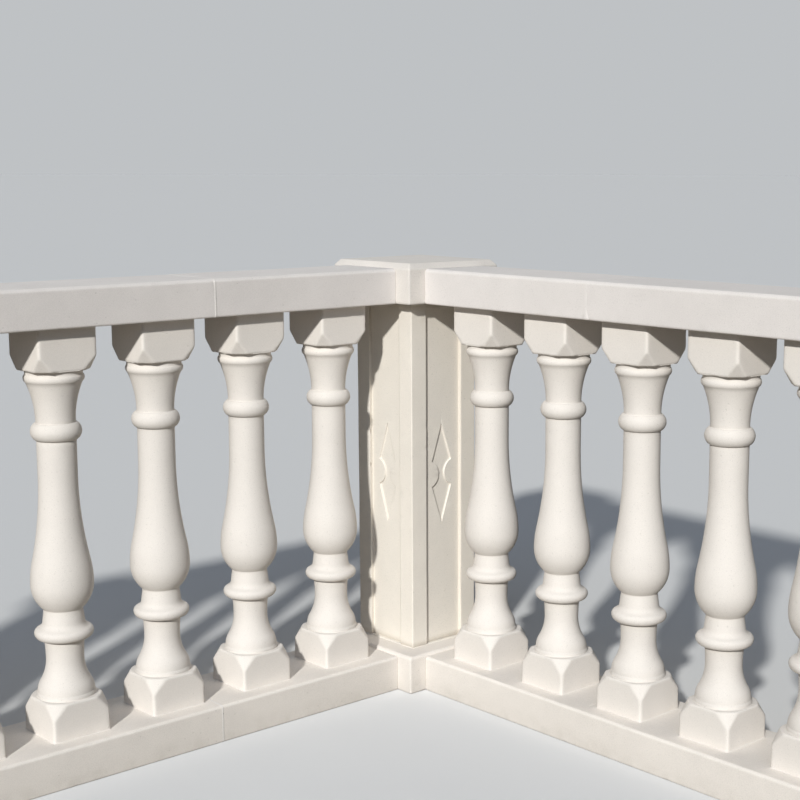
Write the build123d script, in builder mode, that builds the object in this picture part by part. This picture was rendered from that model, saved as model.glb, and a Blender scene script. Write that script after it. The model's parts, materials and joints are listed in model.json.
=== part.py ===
from build123d import *
from math import sqrt
import os

# Corner of a cast stone balustrade: two whole bays at a right angle and their three piers.
# Millimetres. The origin is the corner pier's axis at ground level. The left bay runs
# along +X and the right bay along +Y, as seen from the inside of the corner.

# Courses, from the ground up
plinth_height = 80.0
baluster_height = 820.0
rail_height = 80.0
plinth_width = 204.0
plinth_bevel = 4.0
rail_width = 180.0
rail_bevel = 6.0
rail_lower_round = 6.0
joint_bevel = 1.5

# Piers
die_width = 197.0
die_arris = 2.5
base_overhang = 46.0
base_step = 7.0
base_bevel = 4.0
cap_overhang = 46.0
cap_rise = 13.0
cap_bevel_run = 11.0

# Sunk panel on each face of a die, and the lozenge sunk in it
strip_width = 44.0
panel_depth = 8.0
lozenge_width = 60.0
lozenge_height = 234.0
lozenge_shoulder_rise = 30.0
lozenge_waist_width = 17.0
lozenge_depth = 4.0

# Bays
baluster_count = 7
baluster_pitch = 223.5
end_gap = 101.5

# Where the first length of each course ends, from the corner pier's axis
plinth_joint = 630.0
left_rail_joint = 615.0
right_rail_joint = 630.0

# Baluster heights, from the foot up; the plain shaft takes what is left
foot_block_height = 75.0
foot_band_height = 8.0
foot_flare_height = 69.0
lower_neck_height = 40.0
lower_ring_height = 13.0
ring_cove_height = 24.0
collar_height = 24.0
belly_base_height = 52.0
belly_draw_height = 216.0
upper_ring_height = 34.0
head_flare_height = 80.0
lip_height = 15.0
recess_height = 10.0
abacus_height = 86.0

# Baluster widths
block_side = 124.0
foot_band_diameter = 115.0
foot_flare_diameter = 112.0
lower_neck_diameter = 74.0
neck_top_diameter = 78.5
lower_ring_seat = 89.0
lower_ring_diameter = 115.0
collar_foot_diameter = 82.0
collar_diameter = 76.0
belly_diameter = 123.0
shaft_diameter = 76.5
upper_ring_seat = 81.0
upper_ring_diameter = 99.0
head_flare_diameter = 108.0
lip_diameter = 117.0
lip_top_diameter = 114.0
recess_diameter = 111.0

# Cut corners of the foot block and the abacus
foot_cut_depth = 16.0
foot_cut_height = 28.5
abacus_cut_depth = 21.0
abacus_cut_height = 30.0
cut_bulge = 1.5
cut_margin = 4.0

# Where the bulging half of a double curve gives way to the hollow one
foot_flare_turn = 0.34
ring_cove_turn = 0.40
belly_turn = 0.22

# Sizes that follow from those
up = Vector(0, 0, 1)
rail_bottom = plinth_height + baluster_height
base_side = plinth_width + 2 * base_overhang
base_height = plinth_height + base_step
cap_side = rail_width + 2 * cap_overhang
panel_width = die_width - 2 * strip_width
first_baluster = die_width / 2 + end_gap + block_side / 2
bay_length = 2 * first_baluster + (baluster_count - 1) * baluster_pitch
arms = {"left": Vector(1, 0, 0), "right": Vector(0, 1, 0)}
rail_joints = {"left": left_rail_joint, "right": right_rail_joint}


def save(part, name):
    part.label = name
    export_step(part, "parts/" + name + ".step")


# Pier


def base_block(name, axis):
    with BuildPart() as block:
        with BuildSketch(Plane(axis)):
            Rectangle(base_side, base_side)
        extrude(amount=base_height)
        chamfer(block.edges().group_by(Axis.Z)[-1], length=base_bevel)
    save(block.part, name)


def lozenge_outline():
    # Two long triangles, base to base, joined by a waist that curves in.
    tip = lozenge_height / 2
    side = lozenge_width / 2
    waist = lozenge_waist_width / 2
    rise = lozenge_shoulder_rise
    Polyline((-side, rise), (0, tip), (side, rise))
    ThreePointArc((side, rise), (waist, 0), (side, -rise))
    Polyline((side, -rise), (0, -tip), (-side, -rise))
    ThreePointArc((-side, -rise), (-waist, 0), (-side, rise))


def die(name, axis):
    height = rail_bottom - base_height
    foot = Plane(axis + up * base_height)
    with BuildPart() as shaft:
        with BuildSketch(foot) as section:
            Rectangle(die_width, die_width)
            chamfer(section.vertices(), length=die_arris)
            with PolarLocations(die_width / 2, 4):
                Rectangle(2 * panel_depth, panel_width, mode=Mode.SUBTRACT)
        extrude(amount=height)
        for turn in range(4):
            outward = Vector(1, 0, 0).rotate(Axis.Z, 90 * turn)
            middle = foot.origin + up * (height / 2)
            panel = Plane(
                middle + outward * (die_width / 2 - panel_depth),
                x_dir=up.cross(outward),
                z_dir=outward,
            )
            with BuildSketch(panel):
                with BuildLine():
                    lozenge_outline()
                make_face()
            extrude(amount=-lozenge_depth, mode=Mode.SUBTRACT)
    save(shaft.part, name)


def cap(name, axis):
    with BuildPart() as block:
        with BuildSketch(Plane(axis + up * rail_bottom)):
            Rectangle(cap_side, cap_side)
        extrude(amount=rail_height + cap_rise)
        top = block.faces().sort_by(Axis.Z)[-1]
        chamfer(top.edges(), length=cap_rise, length2=cap_bevel_run, reference=top)
        fillet(block.edges().group_by(Axis.Z)[0], radius=rail_lower_round)
    save(block.part, name)


# Plinth and handrail lengths, each a bevelled bar that butts on its neighbour


def course(name, direction, start, end, joint_end, bottom, width, height, bevel, lower_round=0):
    with BuildPart() as bar:
        section = Plane(
            direction * start + up * bottom, x_dir=up.cross(direction), z_dir=direction
        )
        with BuildSketch(section) as outline:
            Rectangle(width, height, align=(Align.CENTER, Align.MIN))
            chamfer(outline.vertices().group_by(Axis.Y)[-1], length=bevel)
            if lower_round:
                fillet(outline.vertices().group_by(Axis.Y)[0], radius=lower_round)
        extrude(amount=end - start)
        along = Axis((0, 0, 0), direction)
        chamfer(bar.faces().sort_by(along)[joint_end].edges(), length=joint_bevel)
    save(bar.part, name)


# Baluster: a square bar cut back to a turned outline


def double_curve(low, high, turn):
    # Two arcs, upright at both ends, that meet at the share turn of the straight line between.
    middle = (low[0] + (high[0] - low[0]) * turn, low[1] + (high[1] - low[1]) * turn)
    lower = TangentArc(low, middle, tangent=(0, 1))
    TangentArc(middle, high, tangent=lower % 1)


def cut_corner(level, depth, height, way):
    # Points of the bulging cut, from its deepest one at the level out to clear of the bar
    corner = block_side / sqrt(2)
    return (
        (corner - depth, level),
        (corner - depth / 2 + cut_bulge, level + way * height / 2),
        (corner + cut_margin, level + way * height * (1 + cut_margin / depth)),
    )


def turned_outline():
    # Heights of the joints between the turned members
    band_bottom = foot_block_height
    flare_bottom = band_bottom + foot_band_height
    neck_bottom = flare_bottom + foot_flare_height
    lower_ring_bottom = neck_bottom + lower_neck_height
    ring_middle = lower_ring_bottom + lower_ring_height
    collar_bottom = ring_middle + ring_cove_height
    belly_bottom = collar_bottom + collar_height
    belly_middle = belly_bottom + belly_base_height
    shaft_bottom = belly_middle + belly_draw_height
    abacus_bottom = baluster_height - abacus_height
    recess_bottom = abacus_bottom - recess_height
    lip_bottom = recess_bottom - lip_height
    head_bottom = lip_bottom - head_flare_height
    upper_ring_bottom = head_bottom - upper_ring_height

    band = foot_band_diameter / 2
    flare = foot_flare_diameter / 2
    neck = lower_neck_diameter / 2
    neck_top = neck_top_diameter / 2
    seat = lower_ring_seat / 2
    ring = lower_ring_diameter / 2
    collar_foot = collar_foot_diameter / 2
    collar = collar_diameter / 2
    belly = belly_diameter / 2
    shaft = shaft_diameter / 2
    upper_seat = upper_ring_seat / 2
    upper_ring = upper_ring_diameter / 2
    head = head_flare_diameter / 2
    lip = lip_diameter / 2
    lip_top = lip_top_diameter / 2
    recess = recess_diameter / 2

    # Foot block, up to its cut corners
    foot_cut = cut_corner(band_bottom, foot_cut_depth, foot_cut_height, -1)
    Polyline((0, 0), (foot_cut[2][0], 0), foot_cut[2])
    ThreePointArc(*reversed(foot_cut))
    Polyline(foot_cut[0], (band, band_bottom), (band, flare_bottom), (flare, flare_bottom))

    # Foot flare, hollow neck and bold ring, which a short cove draws in to the collar
    double_curve((flare, flare_bottom), (neck, neck_bottom), foot_flare_turn)
    TangentArc((neck, neck_bottom), (neck_top, lower_ring_bottom), tangent=(0, 1))
    Line((neck_top, lower_ring_bottom), (seat, lower_ring_bottom))
    TangentArc((ring, ring_middle), (seat, lower_ring_bottom), tangent=(0, -1))
    double_curve((ring, ring_middle), (collar_foot, collar_bottom), ring_cove_turn)
    Line((collar_foot, collar_bottom), (collar, belly_bottom))

    # Belly, drawn out into the shaft
    TangentArc((belly, belly_middle), (collar, belly_bottom), tangent=(0, -1))
    double_curve((belly, belly_middle), (shaft, shaft_bottom), belly_turn)
    Polyline((shaft, shaft_bottom), (shaft, upper_ring_bottom), (upper_seat, upper_ring_bottom))

    # Upper ring, flared head and its lip
    ThreePointArc(
        (upper_seat, upper_ring_bottom),
        (upper_ring, upper_ring_bottom + upper_ring_height / 2),
        (upper_seat, head_bottom),
    )
    Line((upper_seat, head_bottom), (shaft, head_bottom))
    TangentArc((shaft, head_bottom), (head, lip_bottom), tangent=(0, 1))
    ThreePointArc(
        (head, lip_bottom), (lip, lip_bottom + lip_height / 2), (lip_top, recess_bottom)
    )

    # Recess under the abacus, then the abacus from its cut corners up
    Polyline((lip_top, recess_bottom), (recess, recess_bottom), (recess, abacus_bottom))
    abacus_cut = cut_corner(abacus_bottom, abacus_cut_depth, abacus_cut_height, 1)
    Line((recess, abacus_bottom), abacus_cut[0])
    ThreePointArc(*abacus_cut)
    Polyline(abacus_cut[2], (abacus_cut[2][0], baluster_height), (0, baluster_height), (0, 0))


def baluster(name, foot):
    with BuildPart() as turned:
        with BuildSketch(Plane(foot)):
            Rectangle(block_side, block_side)
        extrude(amount=baluster_height)
        with BuildSketch(Plane(foot, x_dir=(1, 0, 0), z_dir=(0, -1, 0))):
            with BuildLine():
                turned_outline()
            make_face()
        revolve(axis=Axis(foot, up), mode=Mode.INTERSECT)
    save(turned.part, name)


# The whole corner

os.makedirs("parts", exist_ok=True)
pier_axes = {"corner": Vector(0, 0, 0)}
for side, direction in arms.items():
    pier_axes[side + "_end"] = direction * bay_length
for place, axis in pier_axes.items():
    base_block(place + "_base_block", axis)
    die(place + "_die", axis)
    cap(place + "_cap", axis)

for side, direction in arms.items():
    plinth = (0, plinth_width, plinth_height, plinth_bevel)
    course(side + "_plinth_short", direction, base_side / 2, plinth_joint, -1, *plinth)
    course(side + "_plinth_long", direction, plinth_joint, bay_length - base_side / 2, 0, *plinth)
    rail = (rail_bottom, rail_width, rail_height, rail_bevel, rail_lower_round)
    joint = rail_joints[side]
    course(side + "_handrail_short", direction, cap_side / 2, joint, -1, *rail)
    course(side + "_handrail_long", direction, joint, bay_length - cap_side / 2, 0, *rail)
    for number in range(baluster_count):
        place = direction * (first_baluster + number * baluster_pitch) + up * plinth_height
        baluster(side + "_baluster_" + str(number + 1), place)
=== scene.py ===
import json
import math
import bpy
import numpy as np
from mathutils import Vector, Matrix

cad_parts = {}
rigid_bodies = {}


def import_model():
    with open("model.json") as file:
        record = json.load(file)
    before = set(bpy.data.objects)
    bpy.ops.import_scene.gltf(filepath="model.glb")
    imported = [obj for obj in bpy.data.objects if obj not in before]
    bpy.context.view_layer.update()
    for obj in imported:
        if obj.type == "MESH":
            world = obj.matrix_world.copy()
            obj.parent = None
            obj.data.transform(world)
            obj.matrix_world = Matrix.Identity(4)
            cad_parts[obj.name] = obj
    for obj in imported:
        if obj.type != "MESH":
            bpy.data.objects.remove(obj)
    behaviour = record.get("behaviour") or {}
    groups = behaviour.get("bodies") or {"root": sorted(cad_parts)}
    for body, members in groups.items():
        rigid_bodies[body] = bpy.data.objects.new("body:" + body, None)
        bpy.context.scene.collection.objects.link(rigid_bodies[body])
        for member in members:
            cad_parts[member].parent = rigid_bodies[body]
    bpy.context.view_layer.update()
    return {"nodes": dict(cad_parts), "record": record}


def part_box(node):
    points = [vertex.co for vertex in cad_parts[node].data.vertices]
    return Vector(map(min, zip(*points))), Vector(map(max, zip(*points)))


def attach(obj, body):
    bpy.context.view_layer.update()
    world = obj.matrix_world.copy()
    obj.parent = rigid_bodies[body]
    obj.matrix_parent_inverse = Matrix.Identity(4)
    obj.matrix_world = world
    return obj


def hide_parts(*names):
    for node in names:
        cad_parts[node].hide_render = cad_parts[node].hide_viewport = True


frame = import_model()

# Corner of a cast stone balustrade. Everything is in metres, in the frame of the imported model.
mm = 0.001
scene = bpy.context.scene
scene.view_settings.view_transform = "Standard"
nodeNames = sorted(frame["nodes"])
slotOf = {piece["node"]: piece["material_slot"] for piece in frame["record"]["subparts"]}


# Camera, at the photo's angle
view = {
    "place": (2.3396, 2.7189, 1.2005),
    "heading": 226.463,  # degrees
    "pitch": 8.617,
    "roll": 0.160,
    "lens": 68.35,  # mm
    "sensor": 36,
    "shift": -0.1129,
}


def pointing(heading, height):
    # the unit vector that lies heading degrees round from +X and height degrees over the horizon
    turn = math.radians(heading)
    rise = math.radians(height)
    return Vector((math.cos(turn) * math.cos(rise), math.sin(turn) * math.cos(rise), math.sin(rise)))


def aimCamera():
    ahead = pointing(view["heading"], -view["pitch"])
    roll = math.radians(view["roll"])
    level = ahead.cross(Vector((0, 0, 1))).normalized()
    right = level * math.cos(roll) + level.cross(ahead) * math.sin(roll)
    above = right.cross(ahead)
    camera = bpy.data.cameras.new("photoCamera")
    camera.lens = view["lens"]
    camera.sensor_width = view["sensor"]
    camera.shift_x = view["shift"]
    holder = bpy.data.objects.new("photoCamera", camera)
    turn = Matrix((right, above, -ahead)).transposed().to_4x4()
    holder.matrix_world = Matrix.Translation(view["place"]) @ turn
    bpy.context.collection.objects.link(holder)
    scene.camera = holder


aimCamera()
print("camera set")


# Nodes that the floor, the background and the stone share
def feed(tree, socket, value):
    # a link from another node, or a fixed value
    if isinstance(value, bpy.types.NodeSocket):
        tree.links.new(value, socket)
    else:
        socket.default_value = value


def mathNode(tree, operation, first, second):
    node = tree.nodes.new("ShaderNodeMath")
    node.operation = operation
    feed(tree, node.inputs[0], first)
    feed(tree, node.inputs[1], second)
    return node.outputs[0]


def rampNode(tree, value, over, between=(0.0, 1.0)):
    # a smooth run from one value to the other of between, as value goes over its own span
    node = tree.nodes.new("ShaderNodeMapRange")
    node.interpolation_type = "SMOOTHSTEP"
    feed(tree, node.inputs["Value"], value)
    node.inputs["From Min"].default_value, node.inputs["From Max"].default_value = over
    node.inputs["To Min"].default_value, node.inputs["To Max"].default_value = between
    return node.outputs[0]


def mixNode(tree, kind, share, first, second):
    # two colours mixed; its colour sockets are numbers 6, 7 and, for the result, 2
    node = tree.nodes.new("ShaderNodeMix")
    node.data_type = "RGBA"
    node.blend_type = kind
    for place, value in ((0, share), (6, first), (7, second)):
        feed(tree, node.inputs[place], value)
    return node.outputs[2]


def splitRays(tree, kind, outKind, lighting, seen):
    # Two shaders of one kind: lighting is for the rays that light the object, and seen for those
    # that show what is behind it, from the camera, from a reflection or through glass.
    tree.nodes.clear()
    rays = tree.nodes.new("ShaderNodeLightPath")
    showing = rays.outputs["Is Camera Ray"]
    for ray in ("Is Glossy Ray", "Is Transmission Ray"):
        showing = mathNode(tree, "MAXIMUM", showing, rays.outputs[ray])
    mix = tree.nodes.new("ShaderNodeMixShader")
    tree.links.new(showing, mix.inputs[0])
    for place, settings in ((1, lighting), (2, seen)):
        shader = tree.nodes.new(kind)
        for socket, value in settings.items():
            shader.inputs[socket].default_value = value
        tree.links.new(shader.outputs[0], mix.inputs[place])
    out = tree.nodes.new(outKind)
    tree.links.new(mix.outputs[0], out.inputs[0])


# Light and floor
studio = {
    "lamps": {  # headings are degrees round from +X, heights and spreads are degrees too
        "keyLight": {
            "heading": 33.5, "height": 26.0, "power": 3.28, "spread": 2.5, "colour": (1.0, 0.985, 0.94),
        },
        "fillLight": {
            "heading": 42.0, "height": 40.0, "power": 0.64, "spread": 60.0, "colour": (0.665, 0.785, 1.0),
        },
        "backLight": {
            "heading": 238.0, "height": 9.0, "power": 1.1, "spread": 50.0, "colour": (1, 1, 1),
        },
    },
    "sky": {"Color": (0.82, 0.92, 1.0, 1), "Strength": 0.05},
    "backdrop": {"Color": (0.521, 0.539, 0.555, 1), "Strength": 1},
    "floorSize": 600.0,
    "floorBounce": {"Color": (0.14, 0.125, 0.10, 1)},
    "floorSeen": {"Color": (0.80, 0.81, 0.82, 1)},
}


def addSun(name, heading, height, power, spread, colour):
    lamp = bpy.data.lights.new(name, "SUN")
    lamp.energy = power
    lamp.angle = math.radians(spread)
    lamp.color = colour
    holder = bpy.data.objects.new(name, lamp)
    holder.rotation_euler = pointing(heading, height).to_track_quat("Z", "Y").to_euler()
    bpy.context.collection.objects.link(holder)


def lightStudio():
    for name, lamp in studio["lamps"].items():
        addSun(name, **lamp)
    world = bpy.data.worlds.new("studioAir")
    scene.world = world
    world.use_nodes = True
    splitRays(world.node_tree, "ShaderNodeBackground", "ShaderNodeOutputWorld",
              studio["sky"], studio["backdrop"])


def layFloor():
    half = studio["floorSize"] / 2
    corners = [(-half, -half, 0), (half, -half, 0), (half, half, 0), (-half, half, 0)]
    mesh = bpy.data.meshes.new("studioFloor")
    mesh.from_pydata(corners, [], [(0, 1, 2, 3)])
    floor = bpy.data.objects.new("studioFloor", mesh)
    bpy.context.collection.objects.link(floor)
    cover = bpy.data.materials.new("studioFloor")
    cover.use_nodes = True
    splitRays(cover.node_tree, "ShaderNodeBsdfDiffuse", "ShaderNodeOutputMaterial",
              studio["floorBounce"], studio["floorSeen"])
    mesh.materials.append(cover)


lightStudio()
layFloor()
print("light and floor set")


# Stone finishes: each has its colour, how far clouds and grain change it, how dark its pits are, and
# how much painted highlight lightens it near the top, under the handrail
stoneLook = {
    "baluster_stone": {
        "colour": (0.765, 0.722, 0.675), "cloud": 0.018, "grain": 0.03, "pits": 0.08, "paintedTopLight": 0.06,
    },
    "pier_stone": {
        "colour": (0.825, 0.775, 0.70), "cloud": 0.022, "grain": 0.035, "pits": 0.10, "paintedTopLight": 0.0,
    },
    "rail_stone": {
        "colour": (0.782, 0.741, 0.713), "cloud": 0.028, "grain": 0.04, "pits": 0.12, "paintedTopLight": 0.0,
    },
    "plinth_stone": {
        "colour": (0.815, 0.765, 0.71), "cloud": 0.03, "grain": 0.045, "pits": 0.14, "paintedTopLight": 0.0,
    },
    "cap_stone": {
        "colour": (0.73, 0.69, 0.645), "cloud": 0.03, "grain": 0.045, "pits": 0.14, "paintedTopLight": 0.0,
    },
    "joint_mortar": {
        "colour": (0.80, 0.765, 0.73), "cloud": 0.03, "grain": 0.06, "pits": 0.2, "paintedTopLight": 0.0,
    },
}
stonePattern = {
    # sizes are counts to a metre
    "clouds": {"size": 3.2, "detail": 3, "roughness": 0.55},
    "blotches": {"size": 21.0, "detail": 4, "roughness": 0.6},
    "grain": {"size": 620.0, "detail": 2, "roughness": 0.6},
    "noiseSpan": (0.3, 0.7),  # between these a noise counts as its least and its most
    # dots: where they fade, in cell widths, and the random value from which a cell has one
    "specks": {"size": 330.0, "fade": (0.20, 0.42), "chosen": (0.84, 0.90), "channel": 1},
    "pits": {"size": 105.0, "fade": (0.10, 0.22), "chosen": (0.90, 0.93), "channel": 0},
    "blotchShare": 0.55,  # of the clouds' strength
    "speckDark": 0.10,
    "arrisWearHighlightSpan": (0.35, 0.6),  # of the blotches' noise, as are splashSpan and heldDirtShadeSpan; the span of the arrises' wear and painted highlight
    # arrises lighter by this much: rubbed wear and a painted highlight
    "arrisWearAndHighlight": (0.0, 0.025),
    # painted highlight: between these heights the stone turns lighter towards the top
    "paintedTopHeight": (0.72, 0.82),  # metres
    # the colour of the dirt on the foot, and of the dirt with painted shade in the hollows
    "dirtAndShadeColour": (0.36, 0.33, 0.27, 1),
    "splashHeight": (0.0, 0.05),  # metres
    "splashSpan": (0.40, 0.68),
    "splashDirt": (0.05, 0.26),
    # dirt with painted shade: darker in the hollows, creases and recesses
    "heldDirtShadeSpan": (0.35, 0.65),
    "heldDirtAndShade": (0.04, 0.16),
    "roughness": (0.72, 0.88),
    "shine": 0.3,  # specular level
    "grainDepth": 0.12 * mm,
    "unevenDepth": 0.6 * mm,
    "pitDepth": 3.0,  # in grain depths
}


def noiseNode(tree, place, size, detail, roughness):
    node = tree.nodes.new("ShaderNodeTexNoise")
    node.inputs["Scale"].default_value = size
    node.inputs["Detail"].default_value = detail
    node.inputs["Roughness"].default_value = roughness
    tree.links.new(place, node.inputs["Vector"])
    return node.outputs["Fac"]


def dotNode(tree, place, size, fade, chosen, channel):
    # small soft balls round some of the points of a cell pattern, chosen by a cell's random colour
    cells = tree.nodes.new("ShaderNodeTexVoronoi")
    cells.inputs["Scale"].default_value = size
    tree.links.new(place, cells.inputs["Vector"])
    colour = tree.nodes.new("ShaderNodeSeparateColor")
    tree.links.new(cells.outputs["Color"], colour.inputs[0])
    near = rampNode(tree, cells.outputs["Distance"], fade, (1.0, 0.0))
    return mathNode(tree, "MULTIPLY", near, rampNode(tree, colour.outputs[channel], chosen))


def attributeNode(tree, label):
    node = tree.nodes.new("ShaderNodeAttribute")
    node.attribute_name = label
    return node.outputs["Fac"]


def bumpNode(tree, height, depth):
    node = tree.nodes.new("ShaderNodeBump")
    node.inputs["Distance"].default_value = depth
    tree.links.new(height, node.inputs["Height"])
    return node


def stonePatterns(tree):
    # what the colour, the dirt and the relief of a stone are made from
    place = tree.nodes.new("ShaderNodeTexCoord").outputs["Object"]
    pattern = {name: noiseNode(tree, place, **stonePattern[name]) for name in ("clouds", "blotches", "grain")}
    for name in ("specks", "pits"):
        pattern[name] = dotNode(tree, place, **stonePattern[name])
    for label in ("arris", "hollow"):
        pattern[label] = attributeNode(tree, label)
    split = tree.nodes.new("ShaderNodeSeparateXYZ")
    tree.links.new(place, split.inputs[0])
    pattern["height"] = split.outputs["Z"]
    return pattern


def stoneLight(tree, pattern, look):
    # Brightness: 1 plus or minus the share of each noise, less the specks and pits, and more on
    # arrises, for rubbed wear and a painted highlight, and a painted highlight near the top
    light = 0.0
    for name, share in (
        ("clouds", look["cloud"]),
        ("blotches", look["cloud"] * stonePattern["blotchShare"]),
        ("grain", look["grain"]),
    ):
        swing = rampNode(tree, pattern[name], stonePattern["noiseSpan"], (-1, 1))
        light = mathNode(tree, "ADD", light, mathNode(tree, "MULTIPLY", swing, share))
    for name, share in (("specks", stonePattern["speckDark"]), ("pits", look["pits"])):
        light = mathNode(tree, "SUBTRACT", light, mathNode(tree, "MULTIPLY", pattern[name], share))
    # arrises lighter: rubbed wear with a painted highlight
    worn = rampNode(tree, pattern["blotches"], stonePattern["arrisWearHighlightSpan"], stonePattern["arrisWearAndHighlight"])
    light = mathNode(tree, "ADD", light, mathNode(tree, "MULTIPLY", pattern["arris"], worn))
    # painted highlight: the stone is lighter towards the top, by the look's share
    top = rampNode(tree, pattern["height"], stonePattern["paintedTopHeight"], (1.0, 1.0 + look["paintedTopLight"]))
    return mathNode(tree, "ADD", light, top)


def stoneDirtAndShade(tree, pattern):
    # how much dirt and painted shade lie on the stone: dirt splashed on its foot in patches, and dirt with
    # painted shade held in its hollows, creases and recesses
    foot = rampNode(tree, pattern["height"], stonePattern["splashHeight"], (1.0, 0.0))
    splash = rampNode(tree, pattern["blotches"], stonePattern["splashSpan"], stonePattern["splashDirt"])
    # dirt with painted shade, darker in the hollows where shade falls
    hollowDirtShade = rampNode(tree, pattern["blotches"], stonePattern["heldDirtShadeSpan"], stonePattern["heldDirtAndShade"])
    splash = mathNode(tree, "MULTIPLY", foot, splash)
    hollowDirtShade = mathNode(tree, "MULTIPLY", pattern["hollow"], hollowDirtShade)
    return mathNode(tree, "MAXIMUM", splash, hollowDirtShade)


def makeStone(name, look):
    # Fine cast stone: a cream body with slow clouds, blotches, sand grain, dark specks and small
    # air holes; arrises lighter, partly rubbed and partly a painted highlight; a painted highlight
    # over the top; a little dirt on the foot, and dirt with painted shade in the hollows. Its relief
    # is the grain and the holes over a slow unevenness.
    stone = bpy.data.materials.new(name)
    stone.use_nodes = True
    tree = stone.node_tree
    surface = tree.nodes["Principled BSDF"].inputs
    pattern = stonePatterns(tree)
    light = stoneLight(tree, pattern, look)
    body = mixNode(tree, "MULTIPLY", 1, (*look["colour"], 1), light)
    # dirt on the foot, and dirt with painted shade in the hollows
    withDirtAndShade = mixNode(tree, "MIX", stoneDirtAndShade(tree, pattern), body, stonePattern["dirtAndShadeColour"])
    tree.links.new(withDirtAndShade, surface["Base Color"])
    rough = rampNode(tree, pattern["blotches"], stonePattern["noiseSpan"], stonePattern["roughness"])
    tree.links.new(rough, surface["Roughness"])
    surface["Specular IOR Level"].default_value = stonePattern["shine"]
    holes = mathNode(tree, "MULTIPLY", pattern["pits"], stonePattern["pitDepth"])
    relief = mathNode(tree, "SUBTRACT", pattern["grain"], holes)
    fine = bumpNode(tree, relief, stonePattern["grainDepth"])
    slow = bumpNode(tree, pattern["blotches"], stonePattern["unevenDepth"])
    tree.links.new(slow.outputs[0], fine.inputs["Normal"])
    tree.links.new(fine.outputs[0], surface["Normal"])
    return stone


stones = {name: makeStone(name, look) for name, look in stoneLook.items()}
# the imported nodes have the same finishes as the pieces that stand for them
for name, node in frame["nodes"].items():
    for place in node.material_slots:
        place.material = stones[slotOf[name]]
print("stone finishes made")


# Surface tools
weather = {
    "waveSize": 9.0,  # to a metre
    "waveDepth": 0.35 * mm,
    "chipSize": 75.0,
    "fineSize": 2.7,  # the finer chip noise, in times the coarse one's size
    "fineShare": 0.4,
    "chipFrom": 0.70,
    "chipFull": 0.12,  # how far past its threshold the noise gives a chip of full depth
    "chipDepth": 1.6 * mm,
    "sharpTurn": 260.0,  # bend, to a metre, that counts as a full arris
}
scatter = {  # large numbers, so that neighbouring cells and seeds differ
    "cell": (73856093, 19349663, 83492791),
    "seed": 2654435761,
    "mix": 1274126177,
}


def valueNoise(points, size, seed):
    # Smooth noise from 0 to 1: the eight corners of each lattice cell get a hashed value,
    # and a point takes their blend by 3t^2 - 2t^3 along each side.
    spot = points * size
    cell = np.floor(spot).astype(np.int64)
    share = spot - cell
    share = share * share * (3 - 2 * share)
    total = np.zeros(points.shape[:-1])
    for corner in np.ndindex(2, 2, 2):
        key = np.full(total.shape, seed * scatter["seed"])
        weight = np.ones(total.shape)
        for axis in range(3):
            key = key ^ ((cell[..., axis] + corner[axis]) * scatter["cell"][axis])
            weight = weight * (share[..., axis] if corner[axis] else 1 - share[..., axis])
        key = (key ^ (key >> 13)) * scatter["mix"] & 0x7FFFFFFF
        key = (key ^ (key >> 16)) & 0xFFFF
        total += weight * key / 0xFFFF
    return total


def alongRows(points, step):
    # the neighbour one row up or down, the end rows being their own
    moved = np.roll(points, -step, axis=0)
    moved[-1 if step > 0 else 0] = points[-1 if step > 0 else 0]
    return moved


def bendOf(points):
    # Outward normal, and bend in each direction of a grid whose rows are closed loops: the second
    # difference over uneven steps, taken along the normal; positive where the surface turns away.
    # The tiny lengths that are added keep the divisors above zero.
    left = points - np.roll(points, 1, axis=1)
    right = np.roll(points, -1, axis=1) - points
    below = points - alongRows(points, -1)
    above = alongRows(points, 1) - points
    normal = np.cross(left + right, below + above)
    normal /= np.linalg.norm(normal, axis=-1, keepdims=True) + 1e-12
    bend = np.zeros(points.shape[:2])
    for back, ahead in ((left, right), (below, above)):
        backLength = np.linalg.norm(back, axis=-1) + 1e-5
        aheadLength = np.linalg.norm(ahead, axis=-1) + 1e-5
        turn = ahead / aheadLength[..., None] - back / backLength[..., None]
        turn = 2 * turn / (backLength + aheadLength)[..., None]
        one = -np.sum(turn * normal, axis=-1)
        bend = np.where(np.abs(one) > np.abs(bend), one, bend)
    bend[0] = bend[1]
    bend[-1] = bend[-2]
    return normal, bend


def soften(values, times):
    # each value becomes half itself and a quarter of each neighbour, round its row and then up
    for _ in range(times):
        values = 0.5 * values + 0.25 * (np.roll(values, 1, axis=1) + np.roll(values, -1, axis=1))
        values = 0.5 * values + 0.25 * (alongRows(values, 1) + alongRows(values, -1))
    return values


def facingOut(points):
    # The grid with its columns in the order that faces it outwards: the sum is six times the
    # volume that it wraps, with its ends closed by their middles, and its sign tells the side.
    low = points[:-1]
    high = points[1:]
    lowNext = np.roll(low, -1, axis=1)
    highNext = np.roll(high, -1, axis=1)
    total = np.sum(low * np.cross(lowNext, highNext)) + np.sum(low * np.cross(highNext, high))
    for ring, sign in ((points[0], -1), (points[-1], 1)):
        middle = ring.mean(axis=0)
        total += sign * np.sum(middle * np.cross(ring, np.roll(ring, -1, axis=0)))
    return points if total > 0 else points[:, ::-1]


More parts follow.
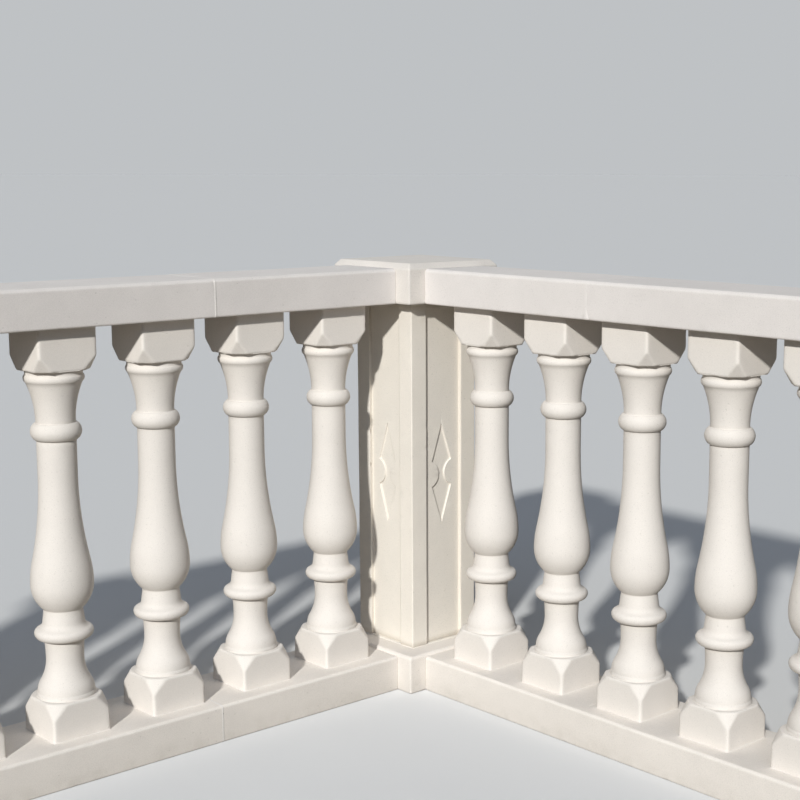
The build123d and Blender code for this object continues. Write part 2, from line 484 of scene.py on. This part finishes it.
def wearGrid(points, seed, chips=1.0):
    # The grid moves in and out along its normal by a slow wave, and inwards where a chip
    # noise passes its threshold on an arris.
    points = facingOut(points)
    normal, bend = bendOf(points)
    sharp = np.clip(bend / weather["sharpTurn"], -1, 1)
    arris = soften(np.clip(sharp, 0, 1), 2)
    hollow = soften(np.clip(-sharp, 0, 1), 2)
    wave = valueNoise(points, weather["waveSize"], seed) - 0.5
    chip = valueNoise(points, weather["chipSize"], seed + 1) * (1 - weather["fineShare"])
    chip += valueNoise(points, weather["chipSize"] * weather["fineSize"], seed + 2) * weather["fineShare"]
    chip = np.clip((chip - weather["chipFrom"]) / weather["chipFull"], 0, 1) * arris * chips
    push = wave * weather["waveDepth"] * 2 - chip * weather["chipDepth"]
    return points + normal * push[..., None], arris, hollow


class Shell:
    # gathers closed grids into the arrays of one mesh
    def __init__(self):
        self.points = []
        self.quads = []
        self.ends = []
        self.arris = []
        self.hollow = []
        self.count = 0

    def add(self, grid, arris, hollow):
        rows, columns = grid.shape[:2]
        number = np.arange(rows * columns).reshape(rows, columns) + self.count
        beside = np.roll(number, -1, axis=1)
        quads = np.stack([number[:-1], beside[:-1], beside[1:], number[1:]], axis=-1)
        self.quads.append(quads.reshape(-1, 4))
        self.ends.append(number[0, ::-1])
        self.ends.append(number[-1])
        self.points.append(grid.reshape(-1, 3))
        self.arris.append(arris.ravel())
        self.hollow.append(hollow.ravel())
        self.count += rows * columns


def finishPiece(name, shell, slot, replaced=(), finish=None):
    # numpy arrays into one mesh: quads round each grid and one face over each of its ends
    mesh = bpy.data.meshes.new(name)
    quads = np.concatenate(shell.quads)
    corners = np.concatenate([quads.ravel()] + shell.ends)
    sizes = np.concatenate([np.full(len(quads), 4), [len(end) for end in shell.ends]]).astype(np.int32)
    starts = np.concatenate([[0], np.cumsum(sizes)[:-1]]).astype(np.int32)
    mesh.vertices.add(shell.count)
    mesh.vertices.foreach_set("co", np.concatenate(shell.points).astype(np.float32).ravel())
    mesh.loops.add(len(corners))
    mesh.loops.foreach_set("vertex_index", corners.astype(np.int32))
    mesh.polygons.add(len(sizes))
    mesh.polygons.foreach_set("loop_start", starts)
    mesh.polygons.foreach_set("loop_total", sizes)
    mesh.polygons.foreach_set("use_smooth", np.ones(len(sizes), bool))
    for label, values in (("arris", shell.arris), ("hollow", shell.hollow)):
        layer = mesh.attributes.new(label, "FLOAT", "POINT")
        layer.data.foreach_set("value", np.concatenate(values).astype(np.float32))
    mesh.update(calc_edges=True)
    mesh.validate()
    piece = bpy.data.objects.new(name, mesh)
    bpy.context.collection.objects.link(piece)
    mesh.materials.append(stones[finish or slot])
    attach(piece, "root")
    if replaced:
        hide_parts(*replaced)


def castPiece(name, grid, seed, finish=None):
    # the worn grid as the piece that stands for the node of that name
    shell = Shell()
    shell.add(*wearGrid(grid, seed))
    finishPiece(name + "_cast", shell, slotOf[name], [name], finish)


def middleOf(low, high):
    return (low.x + high.x) / 2, (low.y + high.y) / 2


def squareReach(angle, half, arris):
    # Distance from the middle of a square to its side: (|cos|^n + |sin|^n)^(-1/n) times half the
    # side. With n at 2.366 half / arris, its corners are about as round as the arris radius says.
    power = 2.366 * half / arris
    cosine = np.abs(np.cos(angle))
    sine = np.abs(np.sin(angle))
    larger = np.maximum(cosine, sine)
    smaller = np.minimum(cosine, sine) / larger
    return half / larger * (1 + smaller ** power) ** (-1 / power)


def cornerAngles(count, crowd):
    # Angles round a square block, crowded at its four corners: a + crowd sin(4a)/4 has the
    # steps 1 + crowd cos(4a), which are smallest at 45 degrees.
    even = np.arange(count) / count * 2 * np.pi
    return even + crowd * np.sin(4 * even) / 4


def roundedSteps(radius, steps=5):
    # a quarter circle from the side (0, radius) to the end face (radius, 0): how far in, how far along
    turn = np.linspace(0, np.pi / 2, steps)
    return radius * (1 - np.cos(turn)), radius * np.sin(turn)


# Balusters: a square bar cut back to a turned outline
balusterShape = {  # millimetres
    "height": 820.0,
    "half": 62.0,  # half the block's side
    "arris": 5.5,
    "endRound": 2.2,
    "endRun": 5.0,  # from a block's end to where the outline starts
    "clear": 4.0,  # how far the outline stands outside the blocks' corners
    "footCut": (19.0, 33.0),  # the foot block's cut corners, turned: how deep and how tall
    "headCut": (20.5, 32.0),  # the head block's, flat
    "cutBlend": 150,  # how sharply the cuts meet the block's faces
    "cove": 1.8,  # radius of the hollow between the foot block and its band
    "crease": 0.6,  # height left for the tight turn where two members meet
    "bandCrease": 0.8,
    "headCrease": 0.5,
    "flareTurn": 0.34,  # how far up a double curve turns from one arc into the other
    "ringTurn": 0.40,
    "bellyTurn": 0.22,
    "hair": 0.01,  # two heights closer than this are one
    "columns": 96,
    "crowd": 0.62,  # how much closer the columns stand at the corners
    "seed": 11,
}
turned = {  # radius and height of each turned member, in millimetres from the foot up
    "bandFoot": (57.5, 75.0), "bandHead": (57.3, 83.0), "flare": (56.0, 83.0), "neck": (37.0, 152.0),
    "neckTop": (39.25, 192.0), "ringFoot": (44.5, 192.0), "ring": (57.5, 205.0), "ringHead": (41.0, 229.0),
    "collar": (38.0, 253.0), "belly": (61.5, 305.0), "shaft": (38.25, 521.0),
    "smallRingFoot": (40.5, 595.0), "smallRing": (49.5, 612.0), "smallRingHead": (40.5, 629.0),
    "headFoot": (38.25, 629.6), "headTop": (54.0, 709.0), "lip": (58.5, 716.5), "lipTop": (57.0, 724.0),
    "recess": (55.5, 724.5), "abacusFoot": (66.7, 734.0),
}


def arcThrough(first, middle, last, steps):
    # the circle through three points: centre from the two chords' middle lines, then even angles
    (ax, ay), (bx, by), (cx, cy) = first, middle, last
    double = 2 * (ax * (by - cy) + bx * (cy - ay) + cx * (ay - by))
    a2, b2, c2 = ax * ax + ay * ay, bx * bx + by * by, cx * cx + cy * cy
    ux = (a2 * (by - cy) + b2 * (cy - ay) + c2 * (ay - by)) / double
    uy = (a2 * (cx - bx) + b2 * (ax - cx) + c2 * (bx - ax)) / double
    angles = np.unwrap([math.atan2(y - uy, x - ux) for x, y in (first, middle, last)])
    turn = np.linspace(angles[0], angles[2], steps)
    radius = math.hypot(ax - ux, ay - uy)
    return np.stack([ux + radius * np.cos(turn), uy + radius * np.sin(turn)], axis=-1)


def arcFrom(first, last, towards, steps):
    # the arc that leaves first in the direction towards and ends at last, and its end direction
    first = np.array(first, float)
    last = np.array(last, float)
    towards = np.array(towards, float) / np.hypot(*towards)
    side = np.array([-towards[1], towards[0]])
    chord = last - first
    radius = chord @ chord / (2 * (side @ chord))
    centre = first + side * radius
    start = math.atan2(*(first - centre)[::-1])
    sweep = 2 * math.atan2(side @ chord, towards @ chord)
    turn = start + np.linspace(0, sweep, steps)
    points = centre + abs(radius) * np.stack([np.cos(turn), np.sin(turn)], axis=-1)
    after = np.array([
        towards[0] * math.cos(sweep) - towards[1] * math.sin(sweep),
        towards[0] * math.sin(sweep) + towards[1] * math.cos(sweep),
    ])
    return points, after


def swell(low, high, turn, steps):
    # two arcs, upright at both ends, that meet at the share turn of the straight line between
    middle = (low[0] + (high[0] - low[0]) * turn, low[1] + (high[1] - low[1]) * turn)
    first, after = arcFrom(low, middle, (0, 1), steps)
    second, _ = arcFrom(middle, high, after, steps)
    return np.concatenate([first, second[1:]])


def straight(first, last, steps):
    return np.linspace(first, last, steps)


def cutLine(size, level, way):
    # how far out a cut corner lies, from its deepest point at the level to clear of the block
    deep, tall = size
    corner = balusterShape["half"] * math.sqrt(2)
    clear = balusterShape["clear"]
    return straight((corner - deep, level), (corner + clear, level + way * tall * (1 + clear / deep)), 16)


def balusterOutline():
    # Radius and height from the foot up: arcs through three points for the upper ring and the
    # lip, pairs of arcs for the flares and the belly, straight runs between
    spot = {name: np.array(place) for name, place in turned.items()}
    footCut = cutLine(balusterShape["footCut"], spot["bandFoot"][1], -1)[::-1]
    headCut = cutLine(balusterShape["headCut"], spot["abacusFoot"][1], 1)
    clear = footCut[0, 0]
    cove, crease, endRun = balusterShape["cove"], balusterShape["crease"], balusterShape["endRun"]
    bandCrease, headCrease = balusterShape["bandCrease"], balusterShape["headCrease"]
    neckTop, collar, shaft = spot["neckTop"], spot["collar"], spot["shaft"]
    ringFoot, smallFoot, smallHead = spot["ringFoot"], spot["smallRingFoot"], spot["smallRingHead"]
    lipTop, recess = spot["lipTop"], spot["recess"]
    return np.concatenate([
        straight((clear, endRun), footCut[0], 6),
        footCut[1:],
        straight(footCut[-1], spot["bandFoot"] + (cove, 0), 4)[1:],
        arcFrom(spot["bandFoot"] + (cove, 0), spot["bandFoot"] + (0, cove), (-1, 0), 4)[0][1:],
        straight(spot["bandFoot"] + (0, cove + crease), spot["bandHead"] - (0, bandCrease), 2),
        swell(spot["flare"], spot["neck"], balusterShape["flareTurn"], 11),
        arcFrom(spot["neck"], neckTop - (0, crease), (0, 1), 6)[0][1:],
        straight(neckTop, ringFoot, 2),
        arcFrom(spot["ring"], ringFoot, (0, -1), 12)[0][-2::-1],
        swell(spot["ring"], spot["ringHead"], balusterShape["ringTurn"], 9)[1:],
        straight(spot["ringHead"], collar - (0, crease), 4)[1:],
        arcFrom(spot["belly"], collar, (0, -1), 14)[0][::-1],
        swell(spot["belly"], shaft, balusterShape["bellyTurn"], 15)[1:],
        straight(shaft, (shaft[0], smallFoot[1] - crease), 7)[1:],
        straight((shaft[0], smallFoot[1]), smallFoot, 2),
        arcThrough(smallFoot, spot["smallRing"], smallHead, 13)[1:],
        straight((shaft[0], smallHead[1]), spot["headFoot"], 2),
        arcFrom(spot["headFoot"], spot["headTop"], (0, 1), 12)[0][1:],
        arcThrough(spot["headTop"], spot["lip"], lipTop, 8)[1:],
        straight(recess, (recess[0], headCut[0, 1] - headCrease), 3),
        straight((recess[0], headCut[0, 1]), headCut[0], 4),
        headCut[1:],
        straight(headCut[-1], (clear, balusterShape["height"] - endRun), 6)[1:],
    ])


def blockInset(height):
    # how far a block's faces draw in at height: a quarter circle at its lower and upper end
    size = balusterShape["endRound"]
    blockEnds = (
        (0, 1), (turned["bandFoot"][1], -1), (turned["abacusFoot"][1], 1), (balusterShape["height"], -1),
    )
    total = np.zeros(height.shape)
    for end, way in blockEnds:
        near = np.clip(1 - (height - end) * way / size, 0, 1)
        inside = (height - end) * way > -balusterShape["hair"]
        total = np.where(inside, np.maximum(total, size * (1 - np.sqrt(1 - near ** 2))), total)
    return total


def balusterGrid():
    # Rows up the outline and columns round it. In the blocks the reach r of the outline, or of its
    # flat facet, is blended with the reach f of the square: (r^-n + f^-n)^(-1/n).
    outline = balusterOutline()
    rounded = roundedSteps(balusterShape["endRound"], 4)[0]
    low = np.stack([np.full(len(rounded), outline[0, 0]), rounded], axis=-1)
    high = np.stack([low[::-1, 0], balusterShape["height"] - low[::-1, 1]], axis=-1)
    outline = np.concatenate([low, outline, high])
    radius = outline[:, 0, None]
    height = outline[:, 1, None]
    angle = cornerAngles(balusterShape["columns"], balusterShape["crowd"])[None]
    face = squareReach(angle, balusterShape["half"], balusterShape["arris"]) - blockInset(height)
    hair = balusterShape["hair"]
    blocked = (height <= turned["bandFoot"][1] + hair) | (height >= turned["abacusFoot"][1] - hair)
    power = balusterShape["cutBlend"]
    offDiagonal = angle % (np.pi / 2) - np.pi / 4
    facet = np.where(height < balusterShape["height"] / 2, radius, radius / np.cos(offDiagonal))
    blend = (facet ** -power + np.maximum(face, 1) ** -power) ** (-1 / power)
    reach = np.where(blocked, blend, radius)
    # the ledge round the band narrows evenly from the foot block's outline to the cove
    ledge = np.abs(height[:, 0] - turned["bandFoot"][1]) < hair
    inner = radius[ledge][-1]
    share = (radius[ledge] - inner) / (radius[ledge][0] - inner)
    reach[ledge] = inner + (reach[ledge][:1] - inner) * share
    return np.stack([reach * np.cos(angle), reach * np.sin(angle), height + 0 * angle], axis=-1) * mm


def makeBalusters():
    bare = balusterGrid()
    for name in nodeNames:
        if "_baluster_" in name:
            low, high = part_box(name)
            castPiece(name, bare + np.array([*middleOf(low, high), low.z]), balusterShape["seed"])


makeBalusters()
print("balusters made")


# Handrail and plinth lengths: a rounded section carried along the arm
courseShape = {
    "step": 7 * mm,  # between stations along the length
    "sideStep": 13 * mm,  # between points round the section
    "nearCorner": 1.6 * mm,  # how close to a corner the next point stands
    "jointRound": 1.8 * mm,
    "faceRing": 15 * mm,  # how far in on an end face its inner ring lies
    "rail": {"bevel": 5.5 * mm, "round": 2.6 * mm, "lowerRound": 4.5 * mm},
    "plinth": {"bevel": 4.0 * mm, "round": 2.4 * mm, "lowerRound": 2.4 * mm},
    "seed": 40,
}


def flatBetween(first, last, spacing):
    # points of a straight side without its ends: evenly spaced, and one close to each end
    length = np.linalg.norm(last - first)
    near = courseShape["nearCorner"]
    if length < 4 * near:
        return np.linspace(first, last, 3)[1:-1]
    share = np.linspace(near, length - near, max(2, round((length - 2 * near) / spacing) + 1)) / length
    return first + (last - first) * share[:, None]


def cornerCurve(enter, corner, leave, steps=5):
    # (1-t)^2 enter + 2t(1-t) corner + t^2 leave, for t from 0 to 1
    t = np.linspace(0, 1, steps)[:, None]
    return (1 - t) ** 2 * enter + 2 * t * (1 - t) * corner + t ** 2 * leave


def roundedLoop(corners, radii, spacing):
    # a closed outline: straight sides divided evenly, and a curve at each corner, from its radius
    # before the corner to as much after it
    corners = np.array(corners, float)
    radius = np.array(radii)[:, None]
    ahead = np.roll(corners, -1, axis=0) - corners
    way = ahead / np.linalg.norm(ahead, axis=-1, keepdims=True)
    enter = corners - np.roll(way, 1, axis=0) * radius
    leave = corners + way * radius
    parts = []
    for a, c, b, after in zip(enter, corners, leave, np.roll(enter, -1, axis=0)):
        parts.append(cornerCurve(a, c, b))
        parts.append(flatBetween(b, after, spacing))
    return np.concatenate(parts)


def courseSection(width, height, kind):
    # a rectangle with its two upper corners bevelled, and every corner rounded
    look = courseShape[kind]
    half, bevel = width / 2, look["bevel"]
    corners = [
        (-half, 0), (half, 0), (half, height - bevel), (half - bevel, height),
        (bevel - half, height), (-half, height - bevel),
    ]
    return roundedLoop(corners, [look["lowerRound"]] * 2 + [look["round"]] * 4, courseShape["sideStep"])


def courseOf(name):
    # a length's box, whether it runs along X, 0, or Y, 1, and its section
    low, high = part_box(name)
    heading = 0 if high.x - low.x > high.y - low.y else 1
    kind = "rail" if "handrail" in name else "plinth"
    return low, high, heading, courseSection(high[1 - heading] - low[1 - heading], high.z - low.z, kind)


def carried(name, stationsOf):
    # The section of the length called name at each station along it, shrunk by the station's
    # inset towards its middle
    low, high, heading, section = courseOf(name)
    stations, insets = stationsOf(low[heading], high[heading])
    middle = np.array([0, (section[:, 1].max() + section[:, 1].min()) / 2])
    size = section.max(axis=0) - section.min(axis=0)
    shrink = 1 - 2 * np.array(insets)[:, None] / size
    around = middle + (section - middle)[None] * shrink[:, None]
    along = np.broadcast_to(np.array(stations)[:, None], around.shape[:2])
    side = around[..., 0] + (low[1 - heading] + high[1 - heading]) / 2
    up = around[..., 1] + low.z
    return np.stack([along, side, up] if heading == 0 else [side, along, up], axis=-1)


def courseStations(start, end):
    # Stations and insets: the end face, the round of the joint, even steps along the length, and
    # the round and the face of the other end
    rounding = courseShape["jointRound"]
    inward, along = roundedSteps(rounding, 4)
    count = round((end - start) / courseShape["step"])
    edge = rounding - along[-2:0:-1]
    near = start + rounding + courseShape["nearCorner"]
    far = end - rounding - courseShape["nearCorner"]
    middle = np.concatenate([[start + rounding], np.linspace(near, far, count), [end - rounding]])
    stations = np.concatenate([[start, start], start + edge, middle, end - edge[::-1], [end, end]])
    face = [courseShape["faceRing"], rounding]
    insets = np.concatenate([face, inward[-2:0:-1], np.zeros(count + 2), inward[1:-1], face[::-1]])
    return stations, insets


for number, name in enumerate(nodeNames):
    if "_handrail_" in name or "_plinth_" in name:
        castPiece(name, carried(name, courseStations), courseShape["seed"] + 3 * number)
print("handrails and plinths made")


# Base blocks and caps: square rings up a stepped outline
blockShape = {
    "columns": 200,
    "crowd": 0.90,
    "arris": 3.2 * mm,
    "round": 3.0 * mm,
    "inner": 60 * mm,  # half the side of the innermost ring
    "step": 11 * mm,  # between points of the outline
    "base": {"bevel": (5.0 * mm, 5.0 * mm), "lowerRound": 3.0 * mm, "finish": None},
    "cap": {"bevel": (11 * mm, 13 * mm), "lowerRound": 5.0 * mm, "finish": "cap_stone"},
    "seed": 200,
}


def roundedPath(points, radii, spacing):
    # an open outline, rounded at its inner corners as roundedLoop does
    points = np.array(points, float)
    parts = [points[:1]]
    last = points[0]
    for before, corner, after, radius in zip(points[:-2], points[1:-1], points[2:], radii):
        into = (before - corner) / np.linalg.norm(before - corner)
        out = (after - corner) / np.linalg.norm(after - corner)
        enter, leave = corner + into * radius, corner + out * radius
        parts.append(flatBetween(last, enter, spacing))
        parts.append(cornerCurve(enter, corner, leave))
        last = leave
    parts.append(flatBetween(last, points[-1], spacing))
    parts.append(points[-1:])
    return np.concatenate(parts)


def makeBlock(name, seed):
    # The outline runs out along the underside, up the side, in over the bevel and along the top,
    # and its distance from the axis is the half side of a square ring at each of its points
    look = blockShape["cap" if "cap" in name else "base"]
    low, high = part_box(name)
    half = (high.x - low.x) / 2
    tall = high.z - low.z
    inner = blockShape["inner"]
    run, rise = look["bevel"]
    corners = [(inner, 0), (half, 0), (half, tall - rise), (half - run, tall), (inner, tall)]
    radii = (look["lowerRound"], blockShape["round"], blockShape["round"])
    outline = roundedPath(corners, radii, blockShape["step"])
    angle = cornerAngles(blockShape["columns"], blockShape["crowd"])[None]
    reach = squareReach(angle, outline[:, 0, None], blockShape["arris"])
    middle = middleOf(low, high)
    grid = np.stack([
        reach * np.cos(angle) + middle[0],
        reach * np.sin(angle) + middle[1],
        outline[:, 1, None] + low.z + 0 * angle,
    ], axis=-1)
    castPiece(name, grid, seed, look["finish"])


for number, name in enumerate(nodeNames):
    if name.endswith("_cap") or name.endswith("_base_block"):
        makeBlock(name, blockShape["seed"] + 3 * number)
print("base blocks and caps made")


# Dies: four faces round a square shaft, each with a sunk panel and a lozenge sunk in that
dieShape = {  # millimetres
    "arris": 1.7,
    "strip": 44.0,
    "panelDeep": 8.0,
    "lozengeDeep": 4.0,
    "lozengeHalf": 117.0,
    "shoulder": 30.0,  # half the lozenge's width, and the height of its shoulders
    "waist": 8.5,
    "edge": 0.7,
    "beside": 1.5,  # how close to an edge the next column stands
    "wallRound": 0.3,  # how far the panel's wall leans at its top and foot, in edges
    "rimOut": (0.25, -0.05, -0.2, -0.6),  # columns over the lozenge's edge: how far out, in edges
    "rimDeep": (0.06, 0.25, 0.75, 0.97),  # and how deep, as shares of the lozenge's depth
    "rowStep": 3.0,  # between rows beside the lozenge
    "plainStep": 16.0,
    "seed": 300,
}


def lozengeWidth(z):
    # Half the width at height z from the middle: between the shoulders an arc through both of
    # them and the waist, and from there straight lines to the tips.
    side, waist, tip = dieShape["shoulder"], dieShape["waist"], dieShape["lozengeHalf"]
    deep = side - waist
    radius = (side ** 2 + deep ** 2) / (2 * deep)
    away = np.minimum(np.abs(z), tip)
    arc = waist + radius - np.sqrt(np.maximum(radius ** 2 - away ** 2, 0))
    line = side * (tip - away) / (tip - side)
    return np.where(away < side, arc, line)


def dieFace(z, half):
    # Columns across one face: how far along it, and how far in from it, at each height z. They
    # are worked out from its left arris to its middle, and mirrored.
    edge, arris, beside = dieShape["edge"], dieShape["arris"], dieShape["beside"]
    floor = dieShape["panelDeep"]
    panel = half - dieShape["strip"]
    width = np.maximum(lozengeWidth(z), 2 * edge)[:, None]
    sunk = np.clip((dieShape["lozengeHalf"] - np.abs(z)) / edge, 0, 1)[:, None] * dieShape["lozengeDeep"]
    one = np.ones((len(z), 1))
    turn = np.linspace(np.pi / 4, 0, 3)[None]
    strip = np.linspace(-half + arris + beside, -panel - edge - beside, 3)
    strip = np.concatenate([strip, [-panel - edge]])[None]
    lean = dieShape["wallRound"] * edge
    near = -panel + edge
    run = -width - edge - near
    across = [0 * one, np.minimum(beside, run / 3), run * 0.5, np.maximum(run - beside, run * 0.7), run]
    inside = np.linspace(-1, 0, 4)[None]
    # the arris, the plain strip, the panel's wall, the panel, the lozenge's edge, and its floor
    bands = (
        (-half + arris * (1 - np.sin(turn)), arris * (1 - np.cos(turn))),
        (strip, 0 * strip),
        (np.array([lean, 0, 0, -lean]) - panel, [lean, edge, floor - edge, floor - lean]),
        (near + np.concatenate(across, axis=1), floor * np.ones(len(across))),
        (-width - np.array(dieShape["rimOut"]) * edge, floor + sunk * np.array(dieShape["rimDeep"])),
        ((width - edge) * inside, floor + sunk + 0 * inside),
    )
    along = np.concatenate([out * one for out, _ in bands], axis=1)
    deep = np.concatenate([inwards * one for _, inwards in bands], axis=1)
    return (
        np.concatenate([along, -along[:, -2:0:-1]], axis=1),
        np.concatenate([deep, deep[:, -2:0:-1]], axis=1),
    )


def makeDie(name, seed):
    # Rows up the die, close together beside the lozenge, and the face's columns on its four sides
    low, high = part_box(name)
    half = (high.x - low.x) / 2 / mm
    tall = (high.z - low.z) / mm
    tip, shoulder, edge = dieShape["lozengeHalf"], dieShape["shoulder"], dieShape["edge"]
    plain = np.linspace(tall / 2, tip + edge, round((tall / 2 - tip) / dieShape["plainStep"]))
    upper = np.linspace(tip - edge, shoulder, round((tip - shoulder) / dieShape["rowStep"]))
    inner = np.linspace(shoulder, 0, round(shoulder / dieShape["rowStep"]) + 1)[1:]
    rise = np.concatenate([plain, [tip], upper, inner])
    z = np.concatenate([-rise, rise[-2::-1]])
    along, deep = dieFace(z, half)
    out = half - deep
    faces = []
    for cosine, sine in ((1, 0), (0, 1), (-1, 0), (0, -1)):
        faces.append(np.stack([out * cosine - along * sine, out * sine + along * cosine], axis=-1))
    loop = np.concatenate(faces, axis=1)
    height = np.broadcast_to(z[:, None], loop.shape[:2])
    grid = np.concatenate([loop, height[..., None]], axis=-1) * mm
    castPiece(name, grid + np.array([*middleOf(low, high), (low.z + high.z) / 2]), seed)


for number, name in enumerate(nodeNames):
    if name.endswith("_die"):
        makeDie(name, dieShape["seed"] + 3 * number)
print("dies made")


# Mortar: bands in the joints of the courses, and beads where a block is bedded
mortarShape = {
    "half": 2.6 * mm,  # half a band's width
    "proud": 0.2 * mm,  # how far it stands out of the course
    "bandShare": (-1.0, -0.96, -0.6, 0.0, 0.6, 0.96, 1.0),  # its rows, in half widths from the joint
    "bandProud": (-4.0, -0.6, 0.8, 1.0, 0.8, -0.6, -4.0),  # and how far out each row is
    "ragged": 1.6 * mm,
    "ragSize": 55.0,  # to a metre
    "lump": 2.6,  # how many half widths more the band has at the lump under the right handrail
    "lumpHeight": 5 * mm,  # of the lump's middle, over the handrail's underside
    "lumpProud": 1.1 * mm,
    "lumpReach": 11 * mm,
    "bead": 1.2 * mm,
    "beadOut": (0.9, 1.0, 0.55, 0.22, 0.02, -1.2),  # a bead's rows, in beads out from the block
    "beadRise": (-0.3, 0.04, 0.25, 0.6, 1.3, 1.5),  # and up from its bed
    "beadRagged": (0.55, 0.9),  # its least size, and how much noise adds
    "beadArris": 3.5 * mm,
    "beadColumns": 64,
    "beadCrowd": 0.7,
    "beadApart": 0.37,  # metres in the noise from one bead's place to the next
    "bandSeeds": {"left": 401, "right": 402},
    "plinthSeed": 10,  # added to the band's
    "balusterSeed": 421,
    "dieSeed": 451,
}


def mortarStations(start, end):
    # rows across the joint at the length's end; where the band is proud, its inset is below zero
    share = np.array(mortarShape["bandShare"])
    return end + share * mortarShape["half"], -np.array(mortarShape["bandProud"]) * mortarShape["proud"]


def mortarBand(name, course, lump, finish, seed):
    # The section of the course across the joint at its end: each row is moved along by noise,
    # and the band is wider and prouder near the lump.
    grid = carried(course, mortarStations)
    low, high, heading, _ = courseOf(course)
    share = np.array(mortarShape["bandShare"])[:, None]
    corner = (high[1 - heading], low.z + mortarShape["lumpHeight"])
    away = np.hypot(grid[..., 1 - heading] - corner[0], grid[..., 2] - corner[1])
    near = lump * np.exp(-(away / mortarShape["lumpReach"]) ** 2)
    noise = valueNoise(grid, mortarShape["ragSize"], seed) - 0.5
    drift = noise * mortarShape["ragged"] + share * mortarShape["half"] * mortarShape["lump"] * near
    grid[..., heading] += drift
    grid[..., 1 - heading] += near * mortarShape["lumpProud"] * (1 - np.abs(share))
    shell = Shell()
    shell.add(*wearGrid(grid, seed, 0))
    finishPiece(name, shell, slotOf[course], (), finish)


def mortarBead(shell, middle, half, level, way, seed):
    # a square ring of mortar in the corner between a block and its bed, ragged along its edge
    reach = np.array(mortarShape["beadOut"]) * mortarShape["bead"]
    rise = np.array(mortarShape["beadRise"]) * mortarShape["bead"]
    least, more = mortarShape["beadRagged"]
    angle = cornerAngles(mortarShape["beadColumns"], mortarShape["beadCrowd"])
    ring = squareReach(angle, half + 0 * angle, mortarShape["beadArris"])
    apart = 0 * ring + seed * mortarShape["beadApart"]
    around = np.stack([ring * np.cos(angle), ring * np.sin(angle), apart], axis=-1)
    ragged = least + more * valueNoise(around, mortarShape["ragSize"], seed)
    wide = ring + reach[:, None] * ragged
    grid = np.stack([
        middle[0] + wide * np.cos(angle),
        middle[1] + wide * np.sin(angle),
        level + way * rise[:, None] * ragged,
    ], axis=-1)
    unworn = np.zeros(grid.shape[:2])
    shell.add(facingOut(grid), unworn, unworn)


def mortarBeads(name, blocks, seed):
    # one piece of the beads at the foot and the head of each block
    beads = Shell()
    for number, block in enumerate(blocks):
        low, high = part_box(block)
        half = (high.x - low.x) / 2
        for level, way in ((low.z, 1), (high.z, -1)):
            mortarBead(beads, middleOf(low, high), half, level, way, seed + 2 * number + way)
    finishPiece(name, beads, slotOf[blocks[0]])


def makeMortar():
    for arm, lump, finish in (("left", 0.0, "joint_mortar"), ("right", 1.0, None)):
        seed = mortarShape["bandSeeds"][arm]
        mortarBand(arm + "_rail_mortar", arm + "_handrail_short", lump, finish, seed)
        seed += mortarShape["plinthSeed"]
        mortarBand(arm + "_plinth_mortar", arm + "_plinth_short", 0.0, finish, seed)
        balusters = [name for name in nodeNames if name.startswith(arm + "_baluster_")]
        mortarBeads(arm + "_baluster_mortar", balusters, mortarShape["balusterSeed"])
    for name in nodeNames:
        if name.endswith("_die"):
            mortarBeads(name + "_mortar", [name], mortarShape["dieSeed"])


makeMortar()
print("mortar made")
added = [thing.data for thing in scene.objects if thing.name.endswith(("_cast", "_mortar"))]
print("triangles in the pieces:", sum(len(mesh.loops) - 2 * len(mesh.polygons) for mesh in added))
